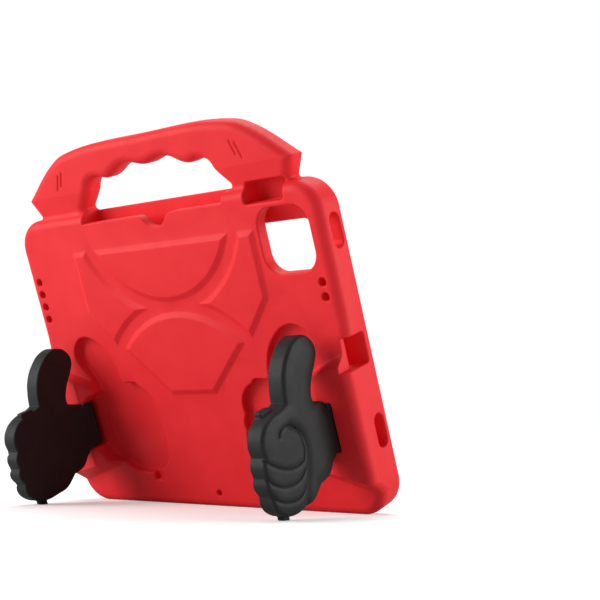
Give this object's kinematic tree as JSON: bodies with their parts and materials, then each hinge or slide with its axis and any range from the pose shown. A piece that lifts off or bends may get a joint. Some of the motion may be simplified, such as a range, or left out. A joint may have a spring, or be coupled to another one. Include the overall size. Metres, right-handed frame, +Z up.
{
  "type": "tablet case",
  "caption": "Soft foam tablet case with a carrying handle, a pen trough and two hand-shaped stands that fold flat into its back.",
  "frame": {"origin": "centre of the footprint, on the surface that the case stands on", "axes": "+X to the right as seen from behind the case, +Y towards the side that the screen faces, +Z up"},
  "size_m": [0.2728, 0.114, 0.2432],
  "materials": {
    "red_foam": "matt moulded closed-cell foam",
    "charcoal_plastic": "satin moulded plastic",
    "pin_steel": "plain drawn wire"
  },
  "bodies": {
    "case": {"foam_shell": "red_foam", "left_hinge_pin": "pin_steel", "right_hinge_pin": "pin_steel"},
    "left_stand": {"left_stand": "charcoal_plastic"},
    "right_stand": {"right_stand": "charcoal_plastic"}
  },
  "joints": [
    {"name": "left_stand_hinge", "type": "hinge", "parent": "case", "child": "left_stand", "pos_m": [-0.1118, 0.01316, 0.05476], "axis": [0, -0.3469, 0.9379], "range_deg": [0, 90]},
    {"name": "right_stand_hinge", "type": "hinge", "parent": "case", "child": "right_stand", "pos_m": [0.1118, 0.01316, 0.05476], "axis": [0, -0.3469, 0.9379], "range_deg": [-90, 0]}
  ]
}
